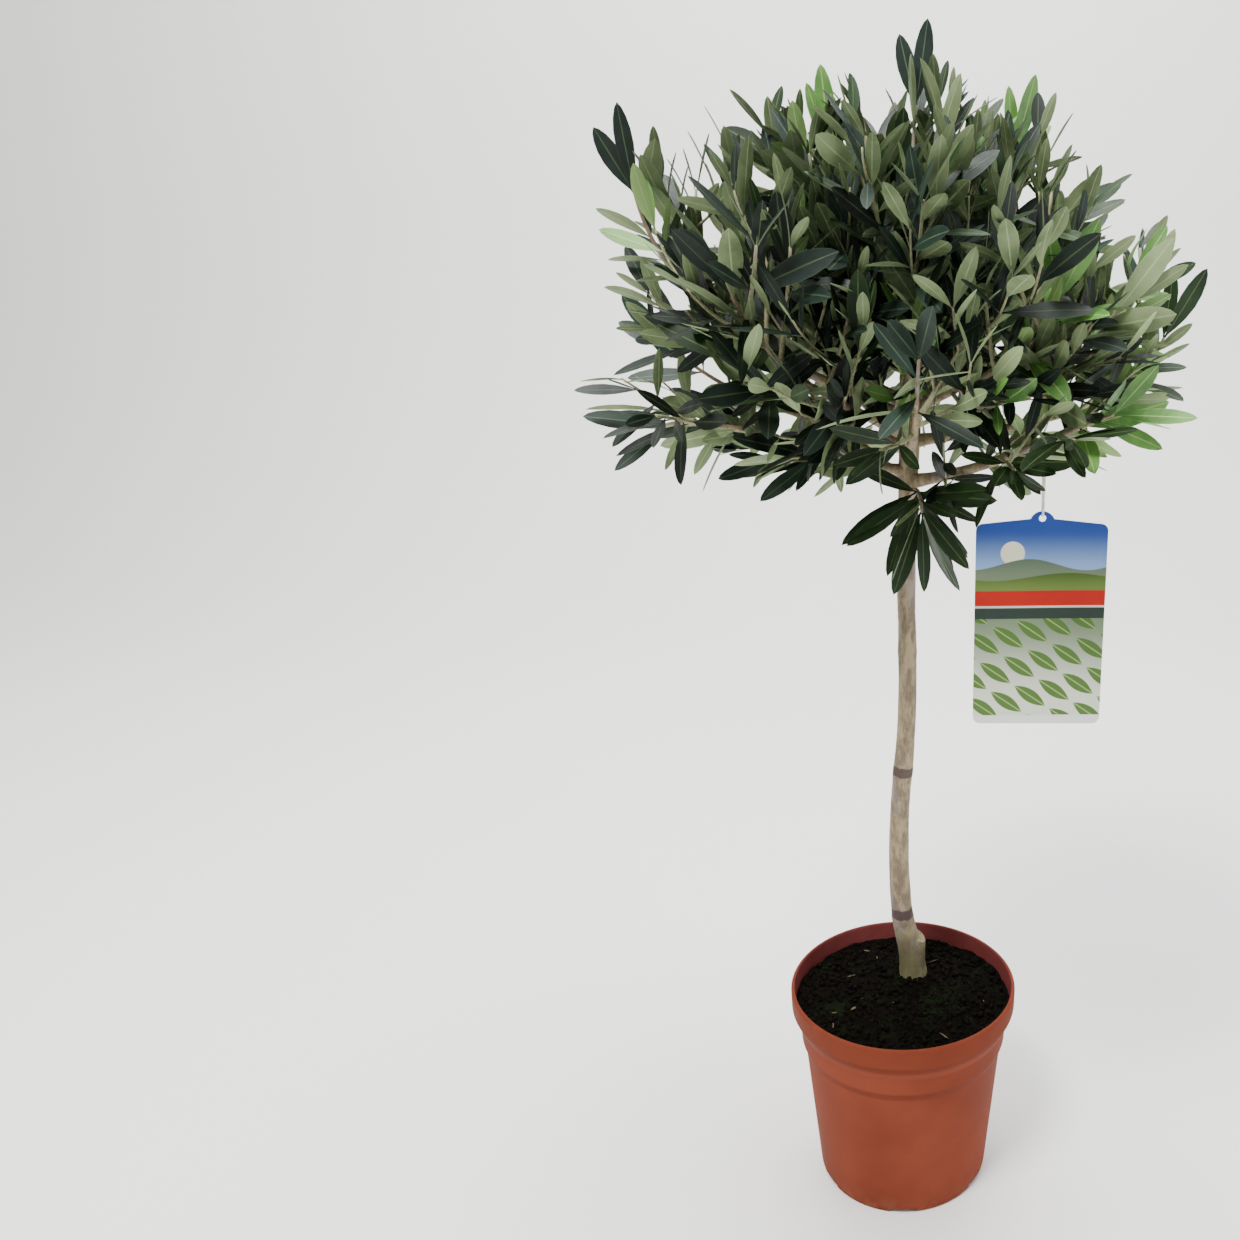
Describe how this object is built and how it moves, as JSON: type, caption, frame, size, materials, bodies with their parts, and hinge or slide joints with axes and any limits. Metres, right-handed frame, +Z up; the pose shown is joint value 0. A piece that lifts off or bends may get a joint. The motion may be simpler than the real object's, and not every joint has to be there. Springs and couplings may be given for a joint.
{
  "type": "potted olive tree",
  "caption": "Potted olive tree: a round crown of narrow grey-green leaves on one slender bare stem, in a terracotta-coloured plastic nursery pot of soil with a plain hanging label.",
  "frame": {"origin": "centre of the pot's flat underside", "axes": "+Z up along the stem; the plant is seen from the -Y side; +X is on the viewer's right, where the label hangs"},
  "size_m": [0.4397, 0.4497, 0.9161],
  "materials": {
    "pot_plastic": "satin moulded",
    "potting_soil": "loose moist potting mix",
    "bark": "smooth young bark",
    "foliage": "leathery leaves and twigs",
    "label_plastic": "thin printed sheet"
  },
  "bodies": {
    "root": {"pot": "pot_plastic", "soil": "potting_soil", "trunk": "bark", "bough_top": "bark", "bough_right_high": "bark", "bough_back_high": "bark", "bough_left_high": "bark", "bough_front_high": "bark", "bough_left_crest": "bark", "bough_back_left": "bark", "bough_back_right": "bark", "bough_front_left": "bark", "bough_front": "bark", "bough_front_right": "bark", "bough_right": "bark", "bough_back": "bark", "bough_left": "bark", "bough_left_low": "bark", "bough_right_low": "bark", "bough_back_low": "bark", "bough_front_low": "bark", "foliage_top": "foliage", "foliage_right_high": "foliage", "foliage_back_high": "foliage", "foliage_left_high": "foliage", "foliage_front_high": "foliage", "foliage_left_crest": "foliage", "foliage_back_left": "foliage", "foliage_back_right": "foliage", "foliage_front_left": "foliage", "foliage_front": "foliage", "foliage_front_right": "foliage", "foliage_right": "foliage", "foliage_back": "foliage", "foliage_left": "foliage", "foliage_left_low": "foliage", "foliage_right_low": "foliage", "foliage_back_low": "foliage", "foliage_front_low": "foliage", "label_card": "label_plastic", "label_loop": "label_plastic"}
  },
  "joints": []
}
